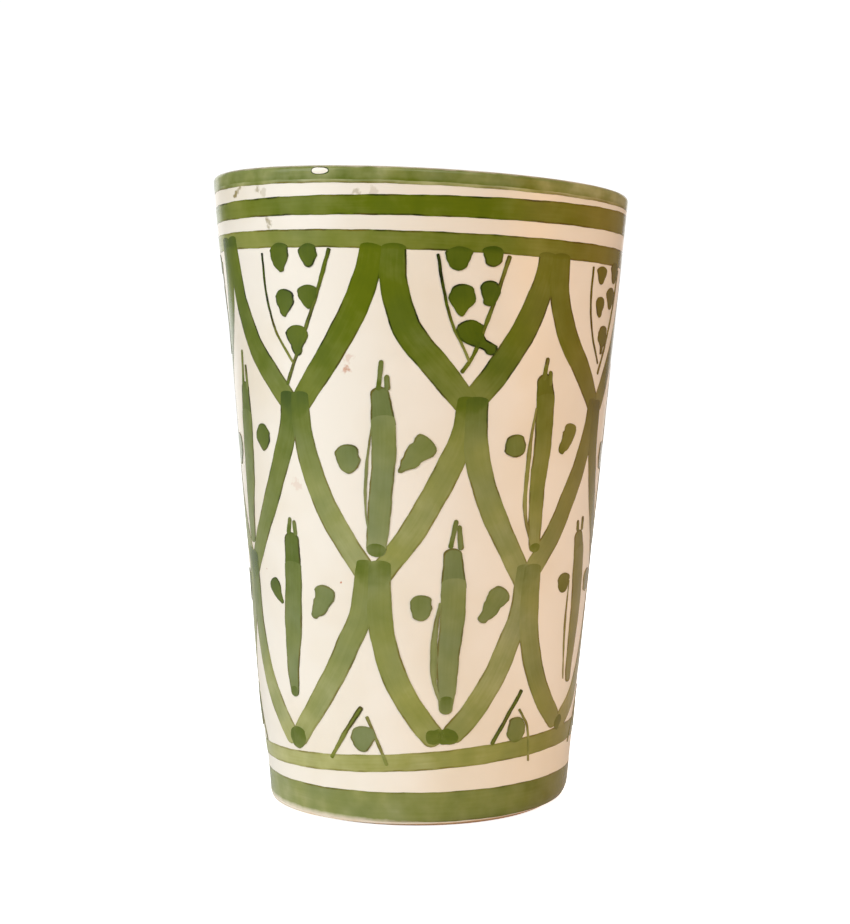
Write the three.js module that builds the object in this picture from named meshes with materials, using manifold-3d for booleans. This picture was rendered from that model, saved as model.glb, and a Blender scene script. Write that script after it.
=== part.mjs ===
// Hand-painted pottery cup: a tall, tapered earthenware tumbler with no handle.
// A thrown clay body carries a cream glaze inside and out, wiped off the foot.
// Green glaze is brushed over it in bands, a lattice of arched strokes, and leaves.
// Millimetres, +Z up. The origin is the middle of the foot, on the surface under the cup.
// The front of the cup faces -Y, and angles on the wall grow from there towards +X.

import * as THREE from "three";
import { mergeVertices } from "three/addons/utils/BufferGeometryUtils.js";
import Module from "manifold-3d";

const wasm = await Module();
wasm.setup();

// Glazed cup
const HEIGHT = 120; // foot to lip
const RIM_RADIUS = 40.4; // outer wall, carried up to the height of the lip
const FOOT_RADIUS = 29.8; // outer wall, carried down to the surface under the cup
const LIP_THICKNESS = 3.4; // the lip is a half round of this width
const BASE_WALL = 5.2; // wall at the height of the floor
const FLOOR_THICKNESS = 6;
const FLOOR_FILLET = 10; // round between floor and wall inside
const FOOT_ROUND = 3.4; // rounded outer edge of the foot
const FOOT_RING = 5; // width of the ring that the cup stands on
const FOOT_RECESS = 1.8; // hollow inside that ring
const RECESS_SLOPE = 1.5; // width of the sloping side of the hollow
const GLAZE = 0.4; // thickness of the cream glaze
const BARE_FOOT = 0.8; // height where the glaze was wiped off

// Brushed green glaze
const PAINT = 0.2; // thickness of a brushed layer
const PAINT_GAP = 0.1; // clearance between the cream glaze and a brushed layer
const PAINT_SPACE = 0.3; // clearance between the lattice and the borders that it runs up to

// Bands, counted down from the lip and up from the foot
const LIP_BAND_DROP = 1.15; // that the lip's band runs down the wall below the round of the lip
const LIP_BAND_TURN = 50; // degrees that the band follows the half round of the lip
const LIP_SPACE = 1.8;
const UPPER_STRIPE = 3.8;
const STRIPE_SPACE = 2.5;
const UPPER_BORDER = 3.3;
const BASE_MARGIN = 0.5; // cream glaze that shows under the base band
const BASE_BAND = 5.6;
const BASE_SPACE = 4.1;
const LOWER_BORDER = 3.4;

// Lattice and leaves
const COLUMNS = 7;
const PATTERN_TURN = -1 / 4; // columns from the front to the nearest one
const STROKE_WIDTH = 4.4;
const STROKE_OVERLAP = 0.8; // width that two strokes share where they start side by side
const STROKE_PLUNGE = 0.6; // share of a tier that a stroke falls before it has turned
const FIRST_TIER = 26.5; // upper border to the first row of junctions
const LATTICE_LIFT = 3; // lower border to the last row of junctions
const LEAF_WIDTH = 4.8;
const LEAF_TIP = 3.2; // width at the lower end
const LEAF_SPACE = 2.4; // clearance between the lower end and the strokes that meet under it
const LEAF_RISE = 3; // that the head stands above the junctions beside it
const PRONG_LENGTH = 5;
const PRONG_WIDTH = 1.2;
const PRONG_SPREAD = 2.2; // between the two prongs

// Fineness
const SIDES_PER_COLUMN = 8;
const ROUND_STEPS = 3; // steps of each small round
const LIP_STEPS = 6; // steps of the half round of the lip
const STROKE_STEPS = 4; // steps along a curved stroke

const COLUMN_ANGLE = (2 * Math.PI) / COLUMNS;
const radians = THREE.MathUtils.degToRad;
const point = (r, z) => new THREE.Vector2(r, z);

// Outer wall: a straight line from the foot to the lip, and the normal that points away from it
const wallFoot = point(FOOT_RADIUS, 0);
const wallAlong = point(RIM_RADIUS - FOOT_RADIUS, HEIGHT).normalize();
const wallOut = point(wallAlong.y, -wallAlong.x);
const wallAngle = Math.atan2(wallOut.y, wallOut.x);
const wallRadius = (z) => THREE.MathUtils.mapLinear(z, 0, HEIGHT, FOOT_RADIUS, RIM_RADIUS);

// Centre of a round of the given radius that touches the outer wall, at the given height
function roundInsideWall(radius, height) {
  const along = (height + wallOut.y * radius) / wallAlong.y;
  return wallFoot.clone().addScaledVector(wallAlong, along).addScaledVector(wallOut, -radius);
}

const lipRadius = LIP_THICKNESS / 2;
const lipCentre = roundInsideWall(lipRadius, HEIGHT - lipRadius);
const footCentre = roundInsideWall(FOOT_ROUND, FOOT_ROUND - GLAZE);

// Inner wall: the line from the foot of the wall inside that touches the round of the lip
const floorHeight = FOOT_RECESS + FLOOR_THICKNESS;
const innerFoot = point(wallRadius(floorHeight) - BASE_WALL, floorHeight);
const toLip = lipCentre.clone().sub(innerFoot);
const innerAlong = toLip
  .clone()
  .normalize()
  .rotateAround(point(0, 0), Math.asin(lipRadius / toLip.length()));
const innerOut = point(-innerAlong.y, innerAlong.x);
const innerAngle = Math.atan2(innerOut.y, innerOut.x);
const filletCentre = innerFoot
  .clone()
  .addScaledVector(innerAlong, (FLOOR_FILLET * (1 - innerOut.y)) / innerAlong.y)
  .addScaledVector(innerOut, FLOOR_FILLET);

function arc(centre, radius, from, to, steps) {
  const points = [];
  for (let i = 0; i <= steps; i += 1) {
    const angle = THREE.MathUtils.lerp(from, to, i / steps);
    points.push(point(Math.cos(angle), Math.sin(angle)).multiplyScalar(radius).add(centre));
  }
  return points;
}

// Angle on the round of the foot at a height on the cream glaze, up to where the straight wall starts
function footAngle(height) {
  const rise = THREE.MathUtils.clamp((height - footCentre.y) / FOOT_ROUND, -1, 1);
  return Math.min(Math.asin(rise), wallAngle);
}

// Outer face between two heights on the cream glaze, set out from it by the given distance.
// Below the straight wall it follows the round of the foot.
const wallStart = footCentre.y + FOOT_ROUND * wallOut.y;
function outerFace(offset, low, high) {
  const wallPoint = (z) => point(wallRadius(z), z).addScaledVector(wallOut, offset);
  if (low >= wallStart) return [wallPoint(low), wallPoint(high)];
  const foot = arc(footCentre, FOOT_ROUND + offset, footAngle(low), footAngle(high), ROUND_STEPS);
  return high > wallStart ? [...foot, wallPoint(high)] : foot;
}

// Round of the lip, from the outer wall to the given angle
const wallEnd = lipCentre.y + lipRadius * wallOut.y;
const lipFace = (offset, to, steps) => arc(lipCentre, lipRadius + offset, wallAngle, to, steps);

// Inner face, from the foot of the inner wall round the fillet and over the floor to the axis
function innerFace(offset) {
  const fillet = arc(filletCentre, FLOOR_FILLET - offset, innerAngle - Math.PI, -Math.PI / 2, ROUND_STEPS);
  return [...fillet, point(0, floorHeight + offset)];
}

function revolve(profile) {
  const geometry = new THREE.LatheGeometry(profile, COLUMNS * SIDES_PER_COLUMN);
  geometry.rotateX(Math.PI / 2);
  return geometry;
}

// Faces that the clay shares with the glaze over it
const glazedOutside = (offset) => [
  ...outerFace(offset, BARE_FOOT, wallEnd).slice(0, -1),
  ...lipFace(offset, innerAngle, LIP_STEPS),
  ...innerFace(offset),
];

function clayBody() {
  const ringInside = footCentre.x - FOOT_RING;
  return revolve([
    point(0, FOOT_RECESS),
    point(ringInside - RECESS_SLOPE, FOOT_RECESS),
    point(ringInside, 0),
    ...arc(footCentre, FOOT_ROUND - GLAZE, -Math.PI / 2, footAngle(BARE_FOOT), ROUND_STEPS).slice(0, -1),
    ...glazedOutside(-GLAZE),
  ]);
}

const glazeCoat = () => revolve([...glazedOutside(-GLAZE).reverse(), ...glazedOutside(0)]);

// Ring of brushed glaze between an inner and an outer face
const paintedRing = (face) => {
  const outer = face(PAINT_GAP + PAINT);
  return revolve([...outer, ...face(PAINT_GAP).reverse(), outer[0]]);
};
const band = (low, high) => paintedRing((offset) => outerFace(offset, low, high));

function lipBand(low) {
  const face = (offset) => [
    ...outerFace(offset, low, wallEnd).slice(0, -1),
    ...lipFace(offset, radians(LIP_BAND_TURN), ROUND_STEPS),
  ];
  return paintedRing(face);
}

// Heights of the bands and of the rows where lattice strokes meet
const lipBandLow = wallEnd - LIP_BAND_DROP;
const stripeHigh = lipBandLow - LIP_SPACE;
const stripeLow = stripeHigh - UPPER_STRIPE;
const upperBorderHigh = stripeLow - STRIPE_SPACE;
const upperBorderLow = upperBorderHigh - UPPER_BORDER;
const baseBandLow = BARE_FOOT + BASE_MARGIN;
const baseBandHigh = baseBandLow + BASE_BAND;
const lowerBorderLow = baseBandHigh + BASE_SPACE;
const lowerBorderHigh = lowerBorderLow + LOWER_BORDER;
const firstRow = upperBorderLow - FIRST_TIER;
const lastRow = lowerBorderHigh + LATTICE_LIFT;
const middleRow = (firstRow + lastRow) / 2;
const rows = [upperBorderLow, firstRow, middleRow, lastRow];

function toSolid(geometry) {
  geometry.deleteAttribute("normal");
  geometry.deleteAttribute("uv");
  const merged = mergeVertices(geometry);
  return new wasm.Manifold(
    new wasm.Mesh({
      numProp: 3,
      vertProperties: new Float32Array(merged.attributes.position.array),
      triVerts: new Uint32Array(merged.index.array),
    }),
  );
}

function toGeometry(solid) {
  const mesh = solid.getMesh();
  const geometry = new THREE.BufferGeometry();
  geometry.setAttribute("position", new THREE.BufferAttribute(mesh.vertProperties, 3));
  geometry.setIndex(new THREE.BufferAttribute(mesh.triVerts, 1));
  return geometry;
}

// Outline of a brush stroke along a curve, with a width at each end and rounded ends
function strokeOutline(curve, startWidth, endWidth) {
  const left = [];
  const right = [];
  const steps = curve.isLineCurve ? 1 : STROKE_STEPS;
  for (let i = 0; i <= steps; i += 1) {
    const t = i / steps;
    const tangent = curve.getTangent(t);
    const across = point(-tangent.y, tangent.x);
    const half = THREE.MathUtils.lerp(startWidth, endWidth, t) / 2;
    left.push(curve.getPoint(t).addScaledVector(across, half));
    right.unshift(curve.getPoint(t).addScaledVector(across, -half));
  }
  const capAt = (t, width, turn) => {
    const tangent = curve.getTangent(t);
    const from = Math.atan2(tangent.y, tangent.x) + turn;
    const cap = arc(curve.getPoint(t), width / 2, from, from - Math.PI, ROUND_STEPS);
    return cap.slice(1, -1);
  };
  const startCap = capAt(0, startWidth, -Math.PI / 2);
  const endCap = capAt(1, endWidth, Math.PI / 2);
  return new THREE.Shape([...startCap, ...left, ...endCap, ...right]);
}

// Cutter that carries a stroke's outline straight through the wall at an angle of the cup.
// The outline is drawn upright on the plane that touches the wall at that angle.
function strokeCutter(outline, angle) {
  const geometry = new THREE.ExtrudeGeometry(outline, { depth: RIM_RADIUS, bevelEnabled: false });
  const across = new THREE.Vector3(Math.cos(angle), Math.sin(angle), 0);
  const up = new THREE.Vector3(0, 0, 1);
  const outwards = new THREE.Vector3().crossVectors(across, up);
  const place = new THREE.Matrix4().makeBasis(across, up, outwards);
  place.setPosition(outwards.multiplyScalar(FOOT_RADIUS / 2));
  return toSolid(geometry.applyMatrix4(place));
}

const join = (solids) => solids.reduce((whole, solid) => whole.add(solid));
const latticeFilm = toSolid(band(lowerBorderHigh + PAINT_SPACE, upperBorderLow - PAINT_SPACE));

// Path of a lattice stroke, which falls from one row and turns out half a column to the next.
// It is drawn about the middle of its half column.
const strokeStart = (STROKE_WIDTH - STROKE_OVERLAP) / 2;
function strokePath(tier, side) {
  const quarter = COLUMN_ANGLE / 4;
  const [high, low] = [rows[tier], rows[tier + 1]];
  const startX = side * (strokeStart - quarter * wallRadius(high));
  const endX = side * quarter * wallRadius(low);
  return new THREE.QuadraticBezierCurve(
    point(startX, high),
    point(startX, THREE.MathUtils.lerp(high, low, STROKE_PLUNGE)),
    point(endX, low),
  );
}

function latticeStroke(tier, column, side) {
  const outline = strokeOutline(strokePath(tier, side), STROKE_WIDTH, STROKE_WIDTH);
  return strokeCutter(outline, (column + tier / 2 + side / 4) * COLUMN_ANGLE);
}

function lattice() {
  const strokes = [];
  for (let tier = 0; tier < rows.length - 1; tier += 1) {
    for (let column = 0; column < COLUMNS; column += 1) {
      strokes.push(latticeStroke(tier, column, -1), latticeStroke(tier, column, 1));
    }
  }
  return toGeometry(latticeFilm.intersect(join(strokes)));
}

// Leaf in the cell under a tier: one broad stroke that narrows downwards, with two prongs at its head.
// Its lower end lies in the V of the strokes that meet at the foot of the cell.
function leaf(tier) {
  const sideways = strokePath(tier, 1).getTangent(1).x;
  const reach = LEAF_TIP / 2 + LEAF_SPACE + STROKE_WIDTH / 2;
  const end = rows[tier + 1] + reach / sideways;
  const head = rows[tier] + LEAF_RISE;
  const prongTip = head + LEAF_WIDTH / 2 + PRONG_LENGTH;
  const line = (x, from, to) => new THREE.LineCurve(point(x, from), point(x, to));
  const prong = (x) => strokeOutline(line(x, prongTip, head), PRONG_WIDTH, PRONG_WIDTH);
  const outlines = [
    strokeOutline(line(0, head, end), LEAF_WIDTH, LEAF_TIP),
    prong(-PRONG_SPREAD / 2),
    prong(PRONG_SPREAD / 2),
  ];
  const cutters = outlines.map((outline) => strokeCutter(outline, 0));
  return toGeometry(latticeFilm.intersect(join(cutters)));
}

// Materials, each with the colour it shows in daylight
const ceramic = (color, roughness) =>
  new THREE.MeshStandardMaterial({ color, roughness, metalness: 0 });
const earthenware = ceramic(0xd8c2a0, 0.9);
const creamGlaze = ceramic(0xf2e9d9, 0.25);
const olivePaint = ceramic(0x8b9457, 0.3);
const greenPaint = ceramic(0x637032, 0.3);

function addMesh(parent, name, geometry, material) {
  const mesh = new THREE.Mesh(geometry, material);
  mesh.name = name;
  parent.add(mesh);
  return mesh;
}

const cup = new THREE.Group();
addMesh(cup, "clay_body", clayBody(), earthenware);
addMesh(cup, "glaze_coat", glazeCoat(), creamGlaze);
addMesh(cup, "lip_band", lipBand(lipBandLow), olivePaint);
addMesh(cup, "upper_stripe", band(stripeLow, stripeHigh), greenPaint);
addMesh(cup, "upper_border", band(upperBorderLow, upperBorderHigh), olivePaint);
addMesh(cup, "lower_border", band(lowerBorderLow, lowerBorderHigh), olivePaint);
addMesh(cup, "base_band", band(baseBandLow, baseBandHigh), greenPaint);

const pattern = new THREE.Group();
pattern.rotation.z = PATTERN_TURN * COLUMN_ANGLE;
cup.add(pattern);
addMesh(pattern, "lattice", lattice(), olivePaint);
for (const [tier, name] of [
  [1, "upper_leaf"],
  [2, "lower_leaf"],
]) {
  const geometry = leaf(tier);
  for (let column = 0; column < COLUMNS; column += 1) {
    const mesh = addMesh(pattern, `${name}_${column + 1}`, geometry, greenPaint);
    mesh.rotation.z = (column + (tier - 1) / 2) * COLUMN_ANGLE;
  }
}

export default cup;
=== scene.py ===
"""Looks of a hand-painted pottery cup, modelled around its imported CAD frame.

Lengths on the cup are in millimetres, as in the CAD source, and Blender's own are in metres.
An angle on the wall is in degrees, from the front (-Y) towards +X.
A height on the wall is counted from the surface under the cup, and past the straight wall it
goes on along the rounds of foot and lip.
"""

import math
import random
from collections import namedtuple

import bpy
import numpy as np
from bpy.props import FloatProperty, FloatVectorProperty, IntProperty, PointerProperty
from mathutils import Matrix, Vector


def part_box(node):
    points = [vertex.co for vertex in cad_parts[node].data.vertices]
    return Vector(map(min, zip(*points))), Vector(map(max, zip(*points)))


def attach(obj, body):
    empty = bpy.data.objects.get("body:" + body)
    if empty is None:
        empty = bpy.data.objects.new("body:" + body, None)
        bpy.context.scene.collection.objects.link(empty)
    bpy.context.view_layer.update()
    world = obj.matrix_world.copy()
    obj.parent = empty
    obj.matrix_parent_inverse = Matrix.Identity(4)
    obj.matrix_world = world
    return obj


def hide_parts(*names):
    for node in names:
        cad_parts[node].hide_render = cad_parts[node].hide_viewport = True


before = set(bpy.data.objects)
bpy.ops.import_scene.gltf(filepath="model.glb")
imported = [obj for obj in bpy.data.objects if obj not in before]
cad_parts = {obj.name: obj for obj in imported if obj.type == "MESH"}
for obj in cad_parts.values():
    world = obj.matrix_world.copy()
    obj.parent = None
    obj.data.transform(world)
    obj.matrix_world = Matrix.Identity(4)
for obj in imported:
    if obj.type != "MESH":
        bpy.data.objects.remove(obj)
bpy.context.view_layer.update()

bl_info = {
    "name": "Painted Pottery Cup",
    "version": (1, 0, 0),
    "blender": (4, 5, 0),
    "location": "View3D > Sidebar > Cup",
    "description": "Models the clay, the cream glaze and the brushwork of a hand-painted cup",
    "category": "Object",
}

MM = 0.001
CAD_PAINT_STAND = 0.3  # outer face of the CAD's brushed layers above the cream glaze


def linear(hex_colour):
    """Linear colour of an sRGB hex value."""
    channels = [int(hex_colour[i : i + 2], 16) / 255 for i in (1, 3, 5)]
    return [c / 12.92 if c <= 0.04045 else ((c + 0.055) / 1.055) ** 2.4 for c in channels]


def wall_under(node):
    """Height of a CAD band's upper edge and the radius of the cream wall under it."""
    low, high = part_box(node)
    return high.z / MM, (high.x - low.x) / 2 / MM - CAD_PAINT_STAND


CUP_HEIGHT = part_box("glaze_coat")[1].z / MM
LOW_EDGE, LOW_RADIUS = wall_under("lower_border")
HIGH_EDGE, HIGH_RADIUS = wall_under("upper_stripe")
WALL_SLOPE = (HIGH_RADIUS - LOW_RADIUS) / (HIGH_EDGE - LOW_EDGE)
BARE_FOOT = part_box("glaze_coat")[0].z / MM


def length(name, description, millimetres):
    """Property for a length on the cup."""
    return FloatProperty(
        name=name,
        description=description,
        default=millimetres * MM,
        min=0,
        precision=5,
        unit="LENGTH",
    )


def colour(name, description, hex_colour):
    """Property for a colour of the cup."""
    return FloatVectorProperty(
        name=name, description=description, default=linear(hex_colour), min=0, max=1, subtype="COLOR"
    )


class CupSizes(bpy.types.PropertyGroup):
    """Sizes of the thrown cup and of its brushwork."""

    height: length("Height", "Foot to lip", CUP_HEIGHT)
    foot_radius: length("Foot radius", "Wall carried down to the table", LOW_RADIUS - WALL_SLOPE * LOW_EDGE)
    rim_radius: length(
        "Rim radius", "Wall carried up to the lip", HIGH_RADIUS + WALL_SLOPE * (CUP_HEIGHT - HIGH_EDGE)
    )
    lip_thickness: length("Lip thickness", "Width of the lip over its rounds", 3.4)
    lip_round: length("Lip round", "Rounded edges of the lip", 1.0)
    lip_tilt: length("Lip tilt", "Fall of the lip from the middle to the right", 1.5)
    left_flare: length("Left flare", "How far the wall swings out under the lip at the left", 0.75)
    base_wall: length("Base wall", "Wall thickness at the floor", 5.2)
    floor_thickness: length("Floor thickness", "Clay under the inside", 6.0)
    floor_fillet: length("Floor fillet", "Round between floor and wall inside", 10.0)
    foot_round: length("Foot round", "Rounded outer edge of the foot", 2.9)
    foot_wear: length("Foot wear", "How much rounder the foot is at the right than at the front", 1.7)
    foot_ring: length("Foot ring", "Width of the ring that the cup stands on", 5.0)
    foot_recess: length("Foot recess", "Hollow inside the foot ring", 1.8)
    glaze: length("Glaze", "Thickness of the cream glaze", 0.4)
    paint: length("Paint", "Thickness of a brushed layer", 0.2)
    throwing_ring: length("Throwing rings", "Spacing of the finger rings inside", 6.5)
    tier_one_width: length("First tier", "Width of the lattice strokes under the lip", 4.9)
    tier_two_width: length("Second tier", "Width of the lattice strokes at mid height", 4.45)
    tier_three_width: length("Third tier", "Width of the lattice strokes above the base", 4.4)
    columns: IntProperty(name="Columns", description="Lattice cells round the cup", default=7, min=4)


class CupColours(bpy.types.PropertyGroup):
    """Colours of clay, glaze and brushwork."""

    cream: colour("Cream", "Cream glaze", "#E8DFD0")
    cream_thin: colour("Thin cream", "Cream glaze where it runs thin", "#E0D3BD")
    clay: colour("Clay", "Fired earthenware", "#D9BC96")
    clay_dark: colour("Dark clay", "Fired earthenware, toasted", "#B08662")
    rust: colour("Rust", "Iron that stained the glaze", "#B86E40")
    smudge: colour("Smudge", "Green paint wiped off the glaze", "#8A7A44")
    olive_thin: colour("Thin olive", "Olive paint, brushed out thin", "#BAB67E")
    olive: colour("Olive", "Olive paint", "#8C8E48")
    olive_full: colour("Full olive", "Olive paint from a full brush", "#5C6808")
    olive_deep: colour("Deep olive", "Olive paint, laid thick", "#3C4E00")
    # Painted sheen in part: paint at mid height and below is mixed towards these grey-greens, for the grey
    # veil of the bright table reflected in the glaze there
    green_thin: colour("Thin green", "Grey-green paint, brushed out thin", "#989A70")
    green: colour("Green", "Grey-green paint", "#7A8254")
    green_full: colour("Full green", "Grey-green paint from a full brush", "#546222")
    green_deep: colour("Deep green", "Grey-green paint, laid thick", "#36480A")
    pooled: colour("Pooled", "Paint that gathered at the edge of a stroke", "#161C06")
    pooled_brown: colour("Pooled brown", "The same where the paint is thin", "#665614")
    # Painted warm light: the paint on the cup's right side is mixed towards this brown, for the warm light
    # that falls there
    painted_warm_light: colour("Flashed", "Paint that browned on the side that faced the fire", "#80600A")
    floor: colour("Floor", "Table under the cup", "#F7F7F5")


def smooth(low, high, value):
    """0 up to low, 1 from high on, and a smooth rise between. High may be the smaller one."""
    t = np.clip((value - low) / (high - low), 0, 1)
    return t * t * (3 - 2 * t)


def spread(values, shares):
    """Values set evenly along a line, read at shares of its length."""
    return np.interp(shares, np.linspace(0, 1, len(values)), values)


def round_axis(turn, radius, height):
    """Points in metres round the cup's axis, at turns from the front."""
    return np.stack([radius * np.sin(turn), -radius * np.cos(turn), height], axis=-1) * MM


# How far the hands left the wall off a true circle, and the heights at the left over which the tuck
# at the foot runs into the straight wall, and that into the flare under the lip
OVAL = 0.10
LOBED = 0.07
LEFT_TUCK = (4, 20)
LEFT_FLARE = (90, 112)
# Where use rubs the paint, from not at all to most: heights and angles at the foot, and at the lip the
# way past the end of the straight wall
FOOT_RUB = (2.3, 0.8)
FOOT_RUB_SIDE = (35, -25)
LIP_RUB = (0.25, 0.95)
LIP_RUB_SHARE = 0.6


class Wall:
    """Outer face of the cup, and the flat sheet that its straight cone unrolls to."""

    def __init__(self, sizes):
        self.foot_radius = sizes.foot_radius / MM
        self.slope = (sizes.rim_radius - sizes.foot_radius) / sizes.height
        self.lean = math.atan(self.slope)
        self.out = np.array([math.cos(self.lean), -math.sin(self.lean)])
        self.glaze = sizes.glaze / MM
        self.foot = sizes.foot_round / MM
        self.foot_wear = sizes.foot_wear / MM
        self.lip = sizes.lip_round / MM
        self.end = (sizes.height - sizes.lip_round) / MM + self.lip * self.out[1]
        self.lip_outer = np.array([self.radius(self.end), self.end]) - self.lip * self.out
        self.lip_inner = self.lip_outer - [sizes.lip_thickness / MM - 2 * self.lip, 0]
        self.lip_tilt = sizes.lip_tilt / MM
        self.left_flare = sizes.left_flare / MM
        self.sheet_start = self.foot_radius / math.sin(self.lean)

    def radius(self, height):
        return self.foot_radius + self.slope * height

    def foot_at(self, angle):
        """Radius of the foot's round at an angle, and the height where the wall runs into it."""
        foot = self.foot + self.foot_wear * np.sin(np.radians(angle))
        return foot, foot * (1 + self.out[1]) - self.glaze

    def foot_centre(self, angle):
        """Radius and height of the middle of the foot's round."""
        foot, start = self.foot_at(angle)
        return self.radius(start) - foot * self.out[0], foot - self.glaze

    def tilt(self, angle):
        """Rise of the lip at an angle: the cup was cut from the wheel a little askew."""
        return -self.lip_tilt * np.sin(np.radians(angle))

    def sway(self, angle, height):
        """Distance that the thrown wall stands off a true circle."""
        turn = np.radians(angle)
        wobble = OVAL * np.sin(2 * turn + 0.8) + LOBED * np.sin(3 * turn + 0.03 * height)
        swing = smooth(*LEFT_FLARE, height) + smooth(*LEFT_TUCK, height) - 1
        return wobble + self.left_flare * np.maximum(-np.sin(turn), 0) ** 2 * swing

    def wear(self, angle, height):
        """How much a hand or the table rubs the paint: round the lip's edge, and at the left of the foot."""
        at_foot = smooth(*FOOT_RUB, height) * smooth(*FOOT_RUB_SIDE, angle)
        return at_foot + LIP_RUB_SHARE * smooth(*LIP_RUB, height - self.end - self.tilt(angle))

    def profile(self, angle, height):
        """Radius, height above the table and outward normal of the face."""
        end = self.end + self.tilt(angle)
        foot, start = self.foot_at(angle)
        on_wall = np.clip(height, start, end)
        past_lip = np.maximum(height - end, 0)
        over_lip = np.minimum(past_lip / self.lip, math.pi / 2 + self.lean)
        under_foot = np.minimum(height - start, 0) / foot
        turn = over_lip + under_foot - self.lean
        normal = np.stack([np.cos(turn), np.sin(turn)])
        bend = np.where(over_lip > 0, self.lip, foot)
        radius = self.radius(on_wall) + bend * (normal[0] - self.out[0])
        radius = radius - (past_lip - over_lip * self.lip)
        return radius, on_wall + bend * (normal[1] - self.out[1]), normal

    def place(self, angle, height, stand):
        """Points in metres that stand the given distance off the face."""
        radius, level, normal = self.profile(angle, height)
        radius = radius + stand * normal[0] + self.sway(angle, height)
        return round_axis(np.radians(angle), radius, level + stand * normal[1])

    def unroll(self, angle, height):
        """Place on the flat sheet, in mm, right and up."""
        slant = self.sheet_start + np.asarray(height, float) / math.cos(self.lean)
        turn = np.radians(angle) * math.sin(self.lean)
        return np.stack([slant * np.sin(turn), slant * np.cos(turn)], axis=-1)

    def roll(self, sheet):
        """Angle and height on the wall of points on the flat sheet."""
        slant = np.hypot(sheet[..., 0], sheet[..., 1])
        turn = np.arctan2(sheet[..., 0], sheet[..., 1])
        angle = np.degrees(turn / math.sin(self.lean))
        return angle, (slant - self.sheet_start) * math.cos(self.lean)


# Brushwork

LIFT = 0.3  # how steeply a stroke's paint thins out towards its end, where the brush lifts
BROAD_HALF = 0.7  # half width from which a stroke has more faces across it
CELL_SHARE = 0.35  # length of a face along a stroke, as a share of the half width
SHORTEST_CELL = 0.6
CELLS_ALONG = (8, 320)  # fewest and most
THINNEST = 0.05  # half width that a stroke keeps where its edges shake
TREMBLE = (0.55, 0.35, 0.2)  # shares of the long, the middle and the short wave in the hand's tremble


class Stroke:
    """One touch of the brush: the line that its middle follows on the flat sheet, and its widths.

    Its ends bow out by shares of the half width there, and its edges shake in waves of given lengths.
    The paint may lie patchy, and be rubbed by hands and by the table.
    """

    def __init__(
        self,
        line,
        widths,
        wet,
        tone,
        layer,
        seed,
        ends=(1, 1),
        across=None,
        shake=0.08,
        waves=(11, 4.7, 1.9),
        patchy=0.3,
        rubbed=0,
    ):
        self.line = line
        steps = np.linalg.norm(np.diff(line, axis=0), axis=1)
        self.along = np.concatenate([[0], np.cumsum(steps)])
        self.size = self.along[-1]
        self.halves = spread(widths, self.along / self.size) / 2
        self.wet = wet
        self.tone = tone
        self.layer = layer
        self.coat = (layer + 1) // 2  # both strokes of a pair are laid wet into wet, as one coat
        self.across = across or (8 if self.halves.max() > BROAD_HALF else 4)
        self.ends = (ends[0] * self.halves[0], ends[1] * self.halves[-1])
        self.shake = shake
        self.waves = waves
        self.patchy = patchy
        self.rubbed = rubbed
        dice = random.Random(seed)
        self.phases = [dice.uniform(0, math.tau) for _ in range(6)]
        self.offset = dice.uniform(0, 500)

    def cells(self):
        """Faces across and along the stroke."""
        cell = max(CELL_SHARE * self.halves.max(), SHORTEST_CELL)
        return self.across, int(np.clip(self.size / cell, *CELLS_ALONG))

    def edge_shake(self, along, phases):
        """How far the hand's tremble moves one edge."""
        return self.shake * sum(
            part * np.sin(math.tau * along / wave + phase)
            for part, wave, phase in zip(TREMBLE, self.waves, phases)
        )

    def lay(self, across, along):
        """Sheet points and paint values at shares of the stroke, across from -1 to 1, along 0 to 1."""
        side = np.sin(across * math.pi / 2)
        bow = 1 - np.sqrt(np.maximum(1 - side * side, 0))
        first = self.ends[0] * bow
        last = self.size - self.ends[1] * bow
        reach = first + along * (last - first)
        half = np.interp(reach, self.along, self.halves)
        left, right = (self.edge_shake(reach, phases) for phases in (self.phases[:3], self.phases[3:]))
        shaken = np.where(side < 0, left, right)
        half = np.maximum(half + np.minimum(shaken, half), THINNEST)
        middle, course = (
            np.stack([np.interp(reach, self.along, part) for part in way.T], axis=-1)
            for way in (self.line, np.gradient(self.line, self.along, axis=0))
        )
        course /= np.linalg.norm(course, axis=-1, keepdims=True)
        right = np.stack([course[..., 1], -course[..., 0]], axis=-1)
        points = middle + right * (side * half)[..., None]
        edge = np.minimum.reduce([half * (1 - np.abs(side)), reach - first, last - reach])
        paint = [spread(numbers, reach / self.size) for numbers in (self.wet, self.tone)]
        return points, side, side * half, reach, np.maximum(edge, 0), *paint

    def depth(self, points):
        """How far inside this stroke sheet points lie, below 0 outside."""
        low, high = self.line[:-1], self.line[1:]
        span = high - low
        share = ((points[:, None] - low) * span).sum(-1) / np.maximum((span * span).sum(-1), 1e-9)
        share = np.clip(share, 0, 1)
        gap = np.linalg.norm(points[:, None] - low - share[..., None] * span, axis=-1)
        half = self.halves[:-1] + share * np.diff(self.halves)
        left = self.size - self.along[:-1] - share * np.diff(self.along)
        return np.minimum(half - gap, LIFT * left).max(axis=1)


def through(wall, points, steps=24):
    """Smooth line on the flat sheet through points on the wall."""
    knots = np.array([wall.unroll(*p) for p in points])
    if len(knots) == 2:
        return knots[0] + np.linspace(0, 1, steps + 1)[:, None] * (knots[1] - knots[0])
    padded = np.vstack([2 * knots[0] - knots[1], knots, 2 * knots[-1] - knots[-2]])
    pieces = []
    for a, b, c, d in zip(padded, padded[1:], padded[2:], padded[3:]):
        t = np.linspace(0, 1, steps // (len(knots) - 1) + 1)[:, None]
        bend = (2 * a - 5 * b + 4 * c - d) * t**2 + (3 * b - a - 3 * c + d) * t**3
        pieces.append(b + ((c - a) * t + bend) / 2)
    return np.vstack([pieces[0]] + [p[1:] for p in pieces[1:]])


BRUSH_START = -205  # angle at the back where each band was begun
BRUSH_LAP = 9  # degrees that its end runs over its beginning


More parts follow.
